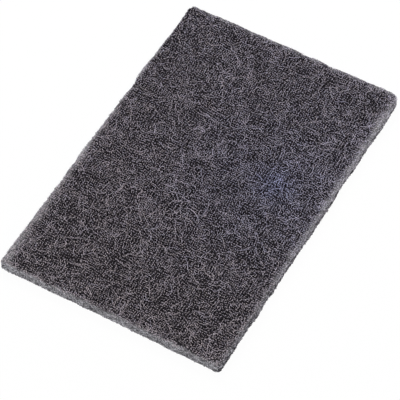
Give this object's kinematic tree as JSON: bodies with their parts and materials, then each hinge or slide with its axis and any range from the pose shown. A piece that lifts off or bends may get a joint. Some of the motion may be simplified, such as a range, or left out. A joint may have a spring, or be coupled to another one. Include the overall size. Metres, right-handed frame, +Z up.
{
  "type": "abrasive hand pad",
  "caption": "Rectangular hand pad of springy non-woven abrasive web: matted grey fibres with soft, slightly uneven cut edges, for scuffing, cleaning and finishing by hand.",
  "frame": {"origin": "middle of the underside, on the surface that the pad lies on", "axes": "+Y along the pad, +X across it, +Z up out of the matted face"},
  "size_m": [0.151, 0.2308, 0.0079],
  "materials": {
    "fibre_web": "matte grey matted fibres, slightly paler along the cut edges"
  },
  "bodies": {
    "root": {"abrasive_pad": "fibre_web"}
  },
  "joints": []
}
